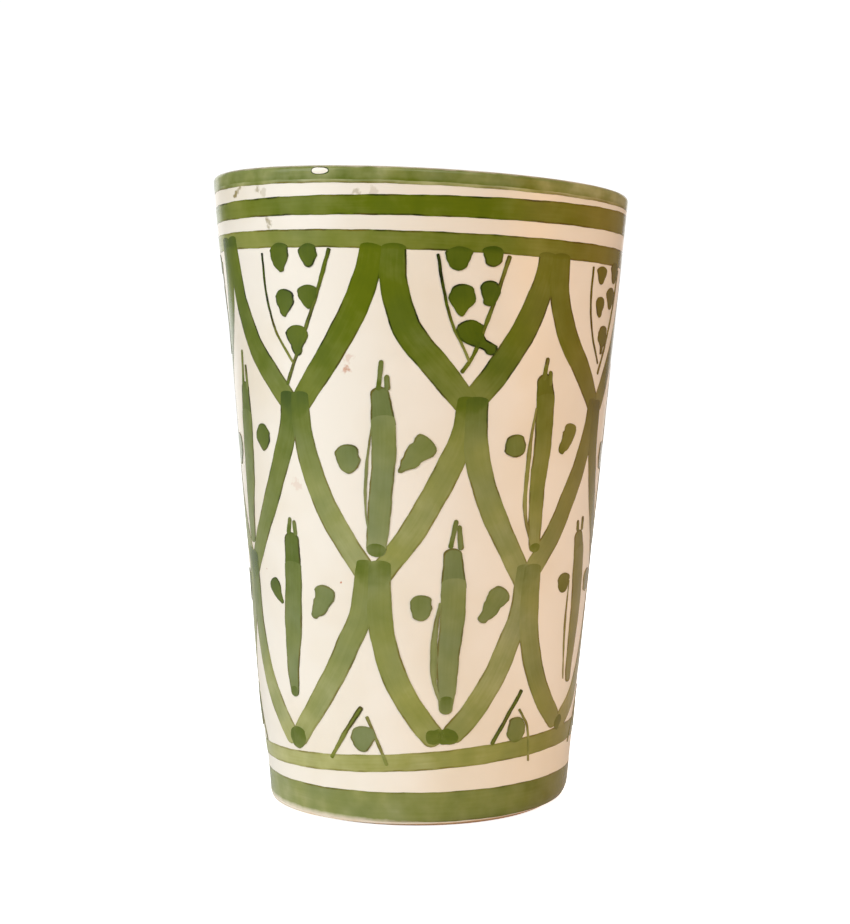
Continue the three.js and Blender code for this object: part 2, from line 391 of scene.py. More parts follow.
def ring(wall, low, high, **looks):
    """Band round the cup. Each edge has its mean height and how much higher it lies at the right."""
    angles = np.linspace(BRUSH_START, BRUSH_START + 360 + BRUSH_LAP, 241)
    rise = np.sin(np.radians(angles))
    lows = low[0] + low[1] * rise
    highs = high[0] + high[1] * rise
    line = wall.unroll(angles, (lows + highs) / 2)
    return Stroke(line, highs - lows, ends=(0.4, 0.6), **looks)


def bands(wall):
    """Strokes of each band by name, with the paint's wetness at nine places from the back over the left."""
    lip_under = (0.35, 0.35, 0.4, 0.45, 0.3, 0.25, 0.25, 0.3, 0.35)
    lip_over = (0.5, 0.45, 0.45, 0.41, 0.5, 0.54, 0.14, 0.4, 0.5)
    stripe = (0.62, 0.65, 0.62, 0.58, 0.68, 0.72, 0.5, 0.62, 0.62)
    border = (0.6, 0.6, 0.5, 0.46, 0.56, 0.66, 0.56, 0.6, 0.6)
    low_border = (0.4, 0.35, 0.3, 0.28, 0.32, 0.42, 0.48, 0.45, 0.4)
    base = (0.5, 0.45, 0.4, 0.37, 0.42, 0.56, 0.62, 0.55, 0.5)
    rough = {"patchy": 0.9, "shake": 0.06, "tone": (0.55,), "rubbed": 1}
    worn = {**rough, "patchy": 0.45}
    even = {"tone": (0.0,), "layer": 0, "shake": 0.06}
    return {
        "lip_band": [
            ring(wall, (116.9, -1.3), (118.1, -1.4), wet=lip_under, layer=0, seed=1, **rough),
            ring(wall, (117.5, -1.4), (119.95, -1.5), wet=lip_over, layer=1, across=24, seed=6, **rough),
        ],
        "upper_stripe": [ring(wall, (111.5, -0.8), (115.2, -0.35), wet=stripe, seed=2, **even)],
        "upper_border": [ring(wall, (105.6, -1.15), (108.9, -1.05), wet=border, seed=3, **even)],
        "lower_border": [ring(wall, (11.0, 2.2), (14.4, 2.6), wet=low_border, seed=4, **even)],
        "base_band": [
            ring(wall, (1.1, 0.3), (6.9, 0.73), wet=base, layer=0, across=24, seed=5, **worn)
        ],
    }


def all_bands(wall):
    return [stroke for strokes in bands(wall).values() for stroke in strokes]


# Strokes of the lattice, tier by tier: the angles where pairs of strokes start, and the left and the
# right stroke of each pair that shows at the front, as angles and heights. The columns behind are
# spaced evenly over the rest of the turn, with copies of the pair that faces the front.
FRONT = 1
TIER_STARTS = [[-65.4, -10.2, 38.0, 89.3], [-39.1, 14.8, 64.2], [-70.4, -14.0, 36.4, 87.2]]
TIER_STROKES = [
    {
        (-65.4, 0): [(-69.4, 109.2), (-70.4, 101), (-75.6, 93), (-83.7, 85), (-93.2, 77.4)],
        (-65.4, 1): [(-64.6, 109.2), (-62.9, 99), (-60.2, 94), (-56.0, 89), (-50.7, 85), (-39.5, 77.3)],
        (-10.2, 0): [(-13.1, 106.8), (-14.8, 101), (-20.3, 93), (-28.5, 85), (-38.0, 77.4)],
        (-10.2, 1): [(-7.4, 106.8), (-7.5, 100), (-4.8, 93), (-1.0, 89), (4.3, 85), (14.2, 77.5)],
        (38.0, 0): [(35.9, 105.9), (35.0, 101), (30.2, 93), (22.3, 85), (13.4, 78.0)],
        (38.0, 1): [(40.4, 105.9), (40.5, 99), (43.7, 93), (47.5, 89), (53.2, 85), (63.5, 77.6)],
        (89.3, 0): [(86.3, 106.0), (84.9, 100), (81.0, 92.5), (73.7, 85), (65.3, 77.4)],
    },
    {
        (-39.1, 0): [(-41.2, 80.4), (-42.5, 73.5), (-46.8, 67), (-54.9, 58), (-70.0, 45.2)],
        (-39.1, 1): [(-37.0, 80.4), (-36.6, 73.5), (-34.2, 67), (-30.4, 61), (-25.0, 55), (-14.2, 45.8)],
        (14.8, 0): [(13.6, 79.8), (12.2, 73), (8.3, 67), (3.3, 61), (-2.4, 55), (-13.4, 46.2)],
        (14.8, 1): [(16.0, 79.8), (16.0, 72), (17.3, 67), (20.6, 61), (25.5, 55), (36.0, 44.4)],
        (64.2, 0): [(62.6, 79.4), (61.0, 73), (57.4, 67), (52.2, 61), (46.6, 55), (36.8, 47.0)],
        (64.2, 1): [(65.8, 79.2), (66.0, 72), (67.5, 67), (73.4, 58), (86.5, 46.0)],
    },
    {
        (-70.4, 1): [(-68.8, 49.5), (-69.2, 40), (-68.1, 34), (-65.0, 28), (-59.4, 22), (-48.2, 14)],
        (-14.0, 0): [(-16.0, 50.0), (-18.4, 40), (-23.2, 34), (-28.8, 28), (-36.1, 22), (-47.2, 14.2)],
        (-14.0, 1): [(-12.0, 50.0), (-12.2, 40), (-10.6, 34), (-7.2, 28), (-1.2, 22), (7.2, 16)],
        (36.4, 0): [(35.2, 49.0), (33.8, 40), (30.0, 34), (25.2, 28), (18.4, 22), (10.0, 16.8)],
        (36.4, 1): [(38.0, 49.0), (37.7, 40), (39.2, 34), (42.6, 28), (49.2, 22), (57.2, 17.4)],
        (87.2, 0): [(85.2, 49.5), (84.5, 40), (81.6, 34), (77.5, 28), (70.5, 22), (58.6, 17)],
    },
]
# Painted sheen in part: the lower tiers get less paint and tones nearer grey-green, so they read lighter and
# greyer, like the bright table reflected in the glaze
TIER_WETNESS_AND_SHEEN = [(0.7, 0.7, 0.66, 0.58), (0.66, 0.46, 0.38, 0.36), (0.54, 0.43, 0.36, 0.34)]
# Single strokes that start and end with more or less paint than their tier
WETTER = {
    (-39.1, 0): (0.16, 0.16),
    (-39.1, 1): (0.08, -0.1),
    (14.8, 0): (-0.01, 0.03),
    (64.2, 0): (0.1, 0.05),
    (64.2, 1): (0.16, 0.12),
    (-70.4, 1): (0.22, -0.06),
    (-14.0, 1): (0, 0.06),
    (36.4, 0): (-0.13, 0.1),
    (36.4, 1): (-0.11, 0.1),
}
# Tones of each tier, from olive at 0 to grey-green at 1; the grey-green of the lower tiers is partly painted
# sheen
TIER_TONES_AND_SHEEN = [(0.15, 0.15), (0.45, 0.35, 0.3), (0.7, 0.5, 0.3, 0.2)]
STROKE_SWELL = (0.9, 1.04, 1.06, 1.02, 0.93)  # width along a stroke, as the hand presses and lifts
LEAF_LAYER = 7  # above the bands and the six layers of the lattice
LAST_LAYER = 9
# How much the hand varies the paint of a stroke, that of a small mark, and the place of a column
WET_VARIES = 0.05
TONE_VARIES = 0.15
MARK_WET_VARIES = 0.08
TURN_VARIES = 0.8  # degrees


def turned(points, angle):
    return [(a + angle, h) for a, h in points]


def turns_behind(seen, columns, seed):
    """Turns from the front column to the columns out of sight, spaced as evenly as a hand does."""
    dice = random.Random(seed)
    hidden = columns - len(seen)
    gap = (seen[0] + 360 - seen[-1]) / (hidden + 1)
    evenly = [seen[-1] - seen[FRONT] + i * gap for i in range(1, hidden + 1)]
    return [turn + dice.uniform(-TURN_VARIES, TURN_VARIES) for turn in evenly]


def lattice(wall, sizes):
    """Three tiers of arched strokes, each pair from one junction down to the two below it."""
    widths = (sizes.tier_one_width, sizes.tier_two_width, sizes.tier_three_width)
    strokes = []
    for tier, (seen, lines, width) in enumerate(zip(TIER_STARTS, TIER_STROKES, widths)):
        dice = random.Random(40 + tier)
        turns = [start - seen[FRONT] for start in seen]
        for turn in turns + turns_behind(seen, sizes.columns, 20 + tier):
            for side in (0, 1):
                model = turned(lines[seen[FRONT], side], turn)
                key = (round(turn + seen[FRONT], 1), side)
                line = lines.get(key, model)
                more = np.linspace(*WETTER.get(key, (0, 0)), len(TIER_WETNESS_AND_SHEEN[tier]))
                broad = width / MM * dice.uniform(0.98, 1.02)
                strokes.append(
                    Stroke(
                        through(wall, line, 40),
                        [broad * swell for swell in STROKE_SWELL],
                        wet=[
                            share + dice.uniform(-WET_VARIES, WET_VARIES)
                            for share in TIER_WETNESS_AND_SHEEN[tier] + more
                        ],
                        tone=np.array(TIER_TONES_AND_SHEEN[tier]) + dice.uniform(-TONE_VARIES, TONE_VARIES),
                        layer=1 + 2 * tier + side,
                        ends=(0.35, 0.8),
                        seed=100 + len(strokes),
                    )
                )
    return strokes


# Leaves that the photograph shows. The lines are angles and heights, the dab is the share of the
# body where a last touch starts, and its width, if there is one.
# A tone near 1 is grey-green, partly painted sheen on the leaves at mid height and below
Leaf = namedtuple("Leaf", "body widths wet tone prongs dab fine fine_width", defaults=((), (), 0.5))
UPPER_LEAVES = [
    Leaf(
        body=[(-65.0, 82.0), (-66.0, 73.4), (-66.9, 65.8), (-68.6, 58.0), (-69.2, 51.0)],
        widths=(3.4, 5.2, 5.4, 5.0, 4.0, 2.8),
        wet=(0.64, 0.6, 0.56, 0.5),
        tone=0.5,
        prongs=[[(-66.6, 80.8), (-65.3, 88.0)], [(-63.0, 80.4), (-63.4, 85.2)]],
    ),
    Leaf(
        body=[(-11.7, 81.4), (-10.4, 73.0), (-11.0, 65.0), (-12.3, 57.0), (-13.2, 50.6)],
        widths=(3.2, 4.5, 4.5, 4.4, 4.3, 4.2, 3.7),
        wet=(0.48, 0.44, 0.42, 0.34),
        tone=0.9,
        dab=(0.9, 3.6),
        fine=[(-13.7, 75.4), (-15.2, 69.0), (-16.2, 62.4), (-16.0, 58.4), (-15.2, 54.8)],
        prongs=[[(-11.9, 80.7), (-10.9, 86.2)], [(-9.3, 80.7), (-9.4, 83.6)]],
    ),
    Leaf(
        body=[(37.1, 84.0), (38.2, 79.0), (38.4, 72.0), (37.6, 64.4), (37.4, 58.0), (38.2, 51.1)],
        widths=(3.4, 4.3, 4.3, 4.0, 3.6, 3.2, 2.5),
        wet=(0.66, 0.56, 0.5, 0.38),
        tone=0.15,
        dab=(0.93, 2.4),
        fine=[(34.9, 77.8), (33.7, 71.7), (33.0, 63.2), (33.5, 58.0), (36.2, 52.8)],
        fine_width=0.8,
        prongs=[[(37.0, 82.8), (38.0, 87.0)], [(39.6, 81.8), (39.2, 84.6)]],
    ),
]
LOWER_LEAVES = [
    Leaf(
        body=[(-43.5, 54.2), (-44.0, 45.4), (-45.0, 38.7), (-46.6, 28.5), (-46.4, 22.9)],
        widths=(3.6, 4.3, 4.6, 4.8, 4.3, 3.3, 2.0),
        wet=(0.64, 0.56, 0.48, 0.5),
        tone=0.8,
        dab=(0.88, 1.8),
        prongs=[[(-44.9, 53.7), (-43.8, 57.0)], [(-41.6, 53.6), (-42.1, 56.5)]],
    ),
    Leaf(
        body=[(10.0, 52.4), (10.8, 43.5), (10.2, 36.8), (9.4, 30.0), (9.3, 21.6)],
        widths=(3.2, 4.6, 4.6, 4.5, 4.1, 3.6, 2.4),
        wet=(0.44, 0.46, 0.42, 0.36),
        tone=0.8,
        dab=(0.9, 2.4),
        fine=[(6.6, 42.4), (5.4, 38.0), (4.9, 33.0), (5.1, 28.0), (7.2, 24.2)],
        fine_width=1.1,
        prongs=[[(9.3, 52.3), (11.0, 57.6)], [(12.6, 52.0), (11.9, 56.6)]],
    ),
    Leaf(
        body=[(60.8, 54.4), (63.4, 48.4), (64.8, 38.0), (63.6, 28.0), (64.6, 24.9)],
        widths=(3.2, 4.4, 5.0, 4.8, 4.2, 3.2, 2.2),
        wet=(0.5, 0.48, 0.45, 0.42),
        tone=0.4,
        fine=[(57.3, 45.0), (57.4, 35.0), (59.6, 25.8)],
        prongs=[[(60.3, 54.2), (59.8, 56.4)], [(63.6, 54.3), (63.3, 57.0)]],
    ),
]


def leaf_columns(leaves, columns):
    """The seen leaves, and copies of the middle one, turned to the columns behind."""
    model = leaves[FRONT]
    turns = turns_behind([seen.body[1][0] for seen in leaves], columns, 60)
    return leaves + [
        model._replace(
            body=turned(model.body, turn),
            fine=turned(model.fine, turn),
            prongs=[turned(line, turn) for line in model.prongs],
        )
        for turn in turns
    ]


HEAD_END = 10  # of the 40 steps down a leaf, where the wet touch at its head ends
BODY_START = 6  # and where the long stroke starts
FINE_SWELL = (0.4, 1.1, 1.1, 0.5)  # width along the fine line beside a leaf


def leaf(wall, parts, seed):
    """A leaf: a wet touch at its head, the long stroke down from it, a dab at its end and fine lines."""
    line = through(wall, parts.body, 40)
    widths = spread(parts.widths, np.linspace(0, 1, len(line)))
    wet = parts.wet
    tone = (parts.tone,)
    head = (line[:HEAD_END], widths[:HEAD_END], (wet[0] + 0.08,))
    body = (line[BODY_START:], widths[BODY_START:], wet)
    strokes = [
        Stroke(*head, tone, LEAF_LAYER, seed, ends=(0.7, 0.3), shake=0.12),
        Stroke(*body, tone, LEAF_LAYER + 1, seed + 1, ends=(0.35, 0.8), shake=0.12),
    ]
    if parts.dab:
        start, width = parts.dab
        end = line[int(start * len(line)) :]
        wetter = [share + 0.1 for share in wet[2:]]
        dab = (end, (width, width), wetter)
        strokes.append(Stroke(*dab, tone, LAST_LAYER, seed + 2, ends=(0.6, 1)))
    if parts.fine:
        swell = [parts.fine_width * share for share in FINE_SWELL]
        fine = (through(wall, parts.fine), swell, (0.45, 0.35))
        strokes.append(Stroke(*fine, tone, LAST_LAYER, seed + 3))
    for i, points in enumerate(parts.prongs):
        prong = (through(wall, points), (1.0, 0.9), (0.5, 0.6))
        strokes.append(Stroke(*prong, tone, LAST_LAYER, seed + 4 + i))
    return strokes


# Small marks by column, as the photograph shows them: the line of each, its widths along the line,
# its wetness and its tone from olive to grey-green
# A tone near 1 is grey-green, partly painted sheen
Mark = namedtuple("Mark", "line widths wet tone", defaults=((0.5, 0.5), (0.55, 0.5), 0.8))


def drop(angle, height, width, tall, point=0.16):
    """Mark of a drop of wet paint, round above and drawn to a point below."""
    line = [(angle, height + tall / 2), (angle, height - tall / 2)]
    shares = (0.7, 1, 0.95, (0.95 + point) / 2, point)
    return Mark(line, [width * share for share in shares], (0.82, 0.8), 0.3)


BERRIES = [
    [
        drop(-41.3, 104.6, 4.8, 5.3),
        drop(-31.5, 104.8, 4.0, 4.3, 0.3),
        drop(-40.6, 96.4, 4.6, 5.1),
        drop(-32.3, 97.4, 4.3, 4.4),
        drop(-36.8, 89.6, 5.0, 5.6),
    ],
    [
        drop(9.5, 104.2, 4.6, 4.3, 0.6),
        drop(18.8, 104.7, 4.2, 3.7, 0.6),
        drop(10.7, 96.9, 4.9, 5.8),
        drop(18.3, 98.2, 3.7, 4.6, 0.6),
        Mark(
            [(13.0, 93.5), (13.3, 91.5), (15.2, 90.0), (18.0, 88.9), (20.8, 87.6)],
            (3.4, 4.9, 4.6, 3.0, 2.1, 1.8, 1.6),
            (0.82, 0.85),
            0.3,
        ),
    ],
    [
        drop(59.8, 102.5, 4.0, 3.4, 0.5),
        drop(70.0, 103.2, 4.6, 4.0, 0.5),
        drop(60.6, 96.6, 3.5, 3.9, 0.4),
        drop(68.3, 98.4, 4.6, 4.2, 0.4),
        Mark([(64.8, 93.2), (64.6, 90.0), (64.1, 87.8)], (3.4, 4.6, 4.0, 1.4, 0.8), (0.82, 0.8), 0.3),
    ],
]
HAIR_LINES = [
    [
        Mark([(-48.2, 105.6), (-48, 99), (-46.8, 95), (-44.6, 91), (-38.5, 85.5)], wet=(1, 0.5), tone=0.2),
        Mark([(-25, 106), (-28.8, 99), (-32.7, 93), (-38, 86), (-41.5, 81.5)], (0.8, 0.7), (0.7, 0.6), 0.2),
    ],
    [
        Mark([(4, 105), (5.6, 99), (8, 93), (11, 89), (13.3, 86)], (0.6, 0.5), (0.9, 0.4), 0.2),
        Mark([(23.5, 105), (21.2, 100), (18.7, 95), (14.5, 87.5), (11, 84)], (0.8, 0.7), (0.7, 0.6), 0.2),
    ],
    [
        Mark([(54.5, 104), (54.8, 97), (57.7, 91), (63, 86)], (0.6, 0.5), (1, 0.9), 0.2),
        Mark([(74, 104), (72, 97), (68, 90), (63.5, 84)], (0.8, 0.7), (0.7, 0.6), 0.2),
    ],
]
UPPER_DOTS = [
    [
        Mark([(-78.6, 72.0), (-78.2, 65.8)], (4.0, 6.0, 5.6, 2.4)),
        Mark([(-54.9, 74.2), (-54.9, 69.0)], (2.8, 4.6, 4.4, 0.9), (0.72, 0.7), 0.5),
    ],
    [
        Mark([(-21.4, 71.0), (-21.2, 65.6)], (3.9, 4.7, 4.6, 3.8, 1.8)),
        Mark([(3.0, 72.0), (-0.8, 69.6), (-6.3, 66.1)], (4.2, 4.9, 4.1, 3.1, 2.1, 0.9)),
    ],
    [
        Mark([(28.2, 73.0), (29.0, 68.8)], (3.6, 4.3, 4.3, 3.6), (0.62, 0.6), 0.2),
        Mark([(49.8, 74.9), (49.4, 72.4), (45.6, 69.5)], (3.2, 3.8, 2.8, 1.4), (0.62, 0.6), 0.3),
    ],
]
LOWER_DOTS = [
    [
        Mark([(-54.8, 45.0), (-53.4, 43.2), (-50.0, 40.4)], (2.6, 3.2, 2.2, 0.8), (0.75, 0.7)),
        Mark([(-30.4, 44.8), (-31.6, 42.2), (-35.8, 38.5)], (3.2, 4.4, 4.3, 3.4, 2.2, 0.9)),
    ],
    [
        Mark([(0.8, 43.8), (0.7, 39.0)], (3.4, 4.2, 4.1, 3.2, 1.6)),
        Mark([(27.2, 44.9), (24.4, 42.2), (19.5, 38.7)], (3.4, 4.4, 3.9, 3.1, 2.4, 1.6)),
    ],
    [
        Mark([(53.6, 46.6), (54.0, 42.8)], (3.0, 4.0, 3.8, 2.6), (0.68, 0.66), 0.4),
        Mark([(73.5, 46.2), (76.0, 42.0)], (3.6, 4.6, 4.4, 2.6)),
    ],
]
CHEVRONS = [
    [
        Mark([(-82.0, 22.6), (-88.0, 17.8), (-94.4, 12.3)], (1.0, 0.9, 0.7), (0.7, 0.65), 0.3),
        Mark([(-80.4, 20.9), (-77.5, 17.2), (-73.4, 11.8)], (0.6, 0.6), (0.5, 0.45), 0.2),
    ],
    [
        Mark([(-18.8, 22.6), (-24.8, 17.8), (-31.2, 12.3)], (1.0, 0.9, 0.7), (0.6, 0.45), 0.2),
        Mark([(-17.2, 20.9), (-14.3, 17.2), (-10.2, 11.8)], (0.6, 0.6), (0.5, 0.45), 0.2),
    ],
    [
        Mark([(37.0, 25.3), (31.4, 20.4), (25.9, 15.4)], (0.8, 0.8), (0.75, 0.65), 0.2),
        Mark([(36.3, 21.7), (38.4, 20.0), (40.9, 17.6), (42.4, 11.3)], (0.5, 0.5), (0.5, 0.4), 0.3),
    ],
]
BASE_DOTS = [
    [Mark([(-81.9, 19.0), (-81.4, 14.1)], (3.4, 4.8, 4.8, 3.6, 1.4), (0.52, 0.52), 1.0)],
    [Mark([(-18.9, 19.0), (-18.4, 14.1)], (3.4, 4.8, 4.8, 3.6, 1.4), (0.52, 0.52), 1.0)],
    [Mark([(36.0, 20.2), (35.2, 15.4)], (2.8, 4.3, 4.2, 2.2), (0.54, 0.54), 0.7)],
]
BASE_DABS = [
    [Mark([(-46.8, 17.2), (-46.2, 12.9)], (3.4, 4.4, 4.0, 2.2), (0.55, 0.55), 0.5)],
    [
        Mark([(2.8, 17.3), (9.0, 17.6)], (2.2, 2.9, 2.9, 2.4), (0.58, 0.58), 0.4),
        Mark([(7.0, 17.7), (13.8, 17.0)], (2.4, 2.8, 2.8, 2.2), (0.58, 0.56), 0.4),
    ],
    [Mark([(56.5, 16.6), (60.6, 18.6)], (2.2, 2.2), (0.72, 0.7), 0.1)],
]


MARK_WAVES = (5.2, 2.8, 1.5)  # lengths of the waves in a small mark's edge


def marks(wall, groups, columns, layer, seed):
    """Strokes of the marks seen in each column, and copies of the front column's on those behind."""
    middles = [np.mean([mark.line[0][0] for mark in group]) for group in groups]
    copies = [
        [mark._replace(line=turned(mark.line, turn)) for mark in groups[FRONT]]
        for turn in turns_behind(middles, columns, seed)
    ]
    strokes = []
    for mark in (mark for group in groups + copies for mark in group):
        dice = random.Random(seed + len(strokes))
        broad = max(mark.widths)
        strokes.append(
            Stroke(
                through(wall, mark.line, 12 if len(mark.line) < 3 else 24),
                mark.widths,
                [wet + dice.uniform(-MARK_WET_VARIES, MARK_WET_VARIES) for wet in mark.wet],
                (mark.tone + dice.uniform(-TONE_VARIES, TONE_VARIES),),
                layer,
                seed + len(strokes),
                ends=(0.5, 0.8),
                shake=min(0.07 * broad + 0.01, 0.34),
                waves=MARK_WAVES,
            )
        )
    return strokes


def lip_spot(wall):
    """Pale spot on the lip: a ring of darker paint, with cream glaze and no paint inside it."""
    spot_ring = through(wall, [(-29.5, 119.66), (-24.3, 119.56)], 12)
    gap = through(wall, [(-29.2, 119.65), (-24.6, 119.56)], 12)
    return (
        Stroke(spot_ring, (0.9, 1.35, 1.4, 1.3, 0.7), (1,), (0.3,), 3, 900, ends=(0.8, 0.8), shake=0.03),
        Stroke(gap, (0.6, 1.1, 1.1, 1.0, 0.4), (0,), (0,), 5, 901, ends=(0.8, 0.8), shake=0.03),
    )


# Modelling

LAYER_STEP = 0.01  # that each later touch of the brush stands higher than the one under it
FIRST_STAND = 0.03  # that the first layer stands above the cream glaze
CROWN = 0.006  # that a stroke swells in its middle
SPIN_STEPS = 192
PAINT_VALUES = ("edge", "under", "first_coat", "second_coat", "wet", "tone", "patchy", "rubbed")
NOT_UNDER = -5.0  # depth inside an earlier stroke that is far off
FAR_OFF = 6  # distance from a stroke at which nothing lies under it
HAND_ANGLE = math.radians(35)  # sharper edges than this stay crisp


def keep(piece, name, material, slot, *nodes):
    """Names a finished piece, gives it its material and sets it on the frame."""
    piece.name = name
    piece.data.name = name
    piece.data.materials.clear()
    piece.data.materials.append(material)
    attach(piece, "root")
    if nodes:
        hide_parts(*nodes)
    return piece


def node_at(prefix, angle):
    """The CAD node of a kind whose middle is nearest to an angle."""

    def off(name):
        low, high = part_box(name)
        middle = (low + high) / 2
        turn = math.degrees(math.atan2(middle.x, -middle.y)) - angle
        return abs((turn + 180) % 360 - 180)

    return min((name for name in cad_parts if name.startswith(prefix)), key=off)


def apply_shell(piece, thickness):
    """Gives a face its thickness inwards, and rounds its shading."""
    shell = piece.modifiers.new("Thickness", "SOLIDIFY")
    shell.thickness = thickness
    shell.offset = -1
    bpy.ops.object.modifier_apply(modifier=shell.name)
    bpy.ops.object.shade_smooth_by_angle(angle=HAND_ANGLE)


def points_of(mesh):
    """Places of the vertices, a row for each."""
    points = np.empty(len(mesh.vertices) * 3)
    mesh.vertices.foreach_get("co", points)
    return points.reshape(-1, 3)


def move(mesh, points):
    """Moves the vertices to new places."""
    mesh.vertices.foreach_set("co", points.ravel())
    mesh.update()


def brush(wall, strokes, under, film):
    """Lays a grid for each stroke, bends it along the stroke and gives the film its thickness."""
    bpy.ops.object.select_all(action="DESELECT")
    for i, stroke in enumerate(strokes):
        across, along = stroke.cells()
        bpy.ops.mesh.primitive_grid_add(x_subdivisions=across, y_subdivisions=along, size=2)
        if i == 0:
            bpy.ops.object.mode_set(mode="EDIT")
    bpy.ops.object.mode_set(mode="OBJECT")
    piece = bpy.context.object
    mesh = piece.data
    flat = points_of(mesh)
    placed = np.empty_like(flat)
    values = {name: np.empty(len(flat)) for name in PAINT_VALUES}
    brush_map = np.empty((len(flat), 2))
    first = 0
    for stroke in strokes:
        across, along = stroke.cells()
        block = slice(first, first + (across + 1) * (along + 1))
        first = block.stop
        laid = stroke.lay(flat[block, 0], (flat[block, 1] + 1) / 2)
        sheet, side, right, reach, edge, wet, tone = laid
        angle, height = wall.roll(sheet)
        stand = FIRST_STAND + LAYER_STEP * stroke.layer + CROWN * (1 - side**2)
        placed[block] = wall.place(angle, height, stand)
        depths = coats_under(wall, stroke, under + strokes, angle, height, sheet)
        rubbed = stroke.rubbed * wall.wear(angle, height)
        paint = (edge, *depths, wet, tone, stroke.patchy, rubbed)
        for name, numbers in zip(PAINT_VALUES, paint):
            values[name][block] = numbers
        brush_map[block] = np.stack([right + stroke.offset, reach + stroke.offset], axis=-1)
    for name, numbers in values.items():
        attribute = mesh.attributes.new(name, "FLOAT", "POINT")
        attribute.data.foreach_set("value", numbers.astype(np.float32))
    corners = np.empty(len(mesh.loops), np.int32)
    mesh.loops.foreach_get("vertex_index", corners)
    mesh.uv_layers.new(name="Brush").data.foreach_set("uv", brush_map[corners].ravel())
    move(mesh, placed)
    apply_shell(piece, film)
    return piece


def coats_under(wall, stroke, others, angle, height, sheet):
    """How far points of a stroke lie inside anything earlier, and inside its two deepest earlier coats."""
    anything = np.full(len(angle), NOT_UNDER)
    coats = {}
    for other in others:
        if other.layer < stroke.layer:
            depth = depth_under(wall, other, angle, height, sheet)
            anything = np.maximum(anything, depth)
            if other.coat < stroke.coat:
                coats[other.coat] = np.maximum(coats.get(other.coat, NOT_UNDER), depth)
    none = np.full(len(angle), NOT_UNDER)
    ranked = np.sort([none, none, *coats.values()], axis=0)
    return anything, ranked[-1], ranked[-2]


def depth_under(wall, earlier, angle, height, sheet):
    """How far points of a stroke lie inside an earlier one, which may be a whole turn away."""
    other = wall.roll(earlier.line[len(earlier.line) // 2])[0]
    turns = round((float(np.mean(angle)) - float(other)) / 360)
    points = wall.unroll(angle - 360 * turns, height) if turns else sheet
    reach = earlier.halves.max() + FAR_OFF
    low, high = earlier.line.min(0) - reach, earlier.line.max(0) + reach
    if (points.max(0) < low).any() or (points.min(0) > high).any():
        return np.full(len(points), NOT_UNDER)
    return earlier.depth(points)


def arc(centre, radius, start, end, steps):
    """Points of a round in the cup's profile."""
    turns = np.linspace(start, end, steps + 1)
    return [(centre[0] + radius * math.cos(t), centre[1] + radius * math.sin(t)) for t in turns]


def straight(start, end, spacing):
    """Points between two ends of a profile line, without the ends."""
    count = int(math.dist(start, end) / spacing)
    shares = [(i + 1) / (count + 1) for i in range(count)]
    return [(start[0] + s * (end[0] - start[0]), start[1] + s * (end[1] - start[1])) for s in shares]


class Inside:
    """Inner face of the cup: a line that touches the round of the lip, a fillet and the floor."""

    def __init__(self, wall, sizes):
        self.floor = (sizes.foot_recess + sizes.floor_thickness) / MM
        self.fillet = sizes.floor_fillet / MM
        foot = np.array([wall.radius(self.floor) - sizes.base_wall / MM, self.floor])
        to_lip = wall.lip_inner - foot
        turn = math.atan2(to_lip[1], to_lip[0]) + math.asin(wall.lip / np.linalg.norm(to_lip))
        along = np.array([math.cos(turn), math.sin(turn)])
        out = np.array([-along[1], along[0]])
        self.angle = math.atan2(out[1], out[0])
        self.centre = foot + along * self.fillet * (1 - out[1]) / along[1] + out * self.fillet


# Points of the profile: how many there are in a round, and their spacing between the rounds
LIP_STEPS = 10
FOOT_STEPS = 12
GLAZED_FOOT_STEPS = 8
WALL_STEP = 2
INSIDE_STEP = 1.2
RING_STEP = 1
LIP_STEP = 0.5
# Inner side of the foot ring: the way out from its edge, the share of the recess and the height above that
RING_SIDE = ((-1.5, 1, 0), (-0.9, 1, -0.3), (-0.2, 0, 0.25), (0.4, 0, 0))
WELD = 0.002 * MM  # distance under which points of a spun piece become one


def profile_of(wall, inside, inset, outer):
    """The given outer points, then over the lip and down inside to the axis, set in by a thickness."""
    outer_lip = arc(wall.lip_outer, wall.lip - inset, -wall.lean, math.pi / 2, LIP_STEPS)
    inner_lip = arc(wall.lip_inner, wall.lip - inset, math.pi / 2, inside.angle, LIP_STEPS)
    turn = inside.angle - math.pi
    fillet = arc(inside.centre, inside.fillet + inset, turn, -math.pi / 2, LIP_STEPS)
    middle = (0, inside.floor - inset)
    return [
        *outer,
        *straight(outer[-1], outer_lip[0], WALL_STEP),
        *outer_lip,
        *straight(outer_lip[-1], inner_lip[0], LIP_STEP),
        *inner_lip,
        *straight(inner_lip[-1], fillet[0], INSIDE_STEP),
        *fillet,
        *straight(fillet[-1], middle, WALL_STEP),
        middle,
    ]


def lathe(profile):
    """Extrudes a vertex along a profile of radii and heights, and spins it round the axis."""
    bpy.ops.object.select_all(action="DESELECT")
    bpy.ops.mesh.primitive_plane_add(size=MM, location=(0, 0, 0))
    bpy.ops.object.mode_set(mode="EDIT")
    bpy.ops.mesh.merge(type="CENTER")
    bpy.ops.transform.translate(value=(profile[0][0] * MM, 0, profile[0][1] * MM))
    for (r0, z0), (r1, z1) in zip(profile, profile[1:]):
        step = ((r1 - r0) * MM, 0, (z1 - z0) * MM)
        bpy.ops.mesh.extrude_region_move(TRANSFORM_OT_translate={"value": step})
    bpy.ops.mesh.select_all(action="SELECT")
    bpy.ops.mesh.spin(steps=SPIN_STEPS, angle=math.tau, center=(0, 0, 0), axis=(0, 0, 1))
    bpy.ops.mesh.select_all(action="SELECT")
    bpy.ops.mesh.remove_doubles(threshold=WELD)
    bpy.ops.mesh.normals_make_consistent(inside=False)
    bpy.ops.object.mode_set(mode="OBJECT")
    return bpy.context.object


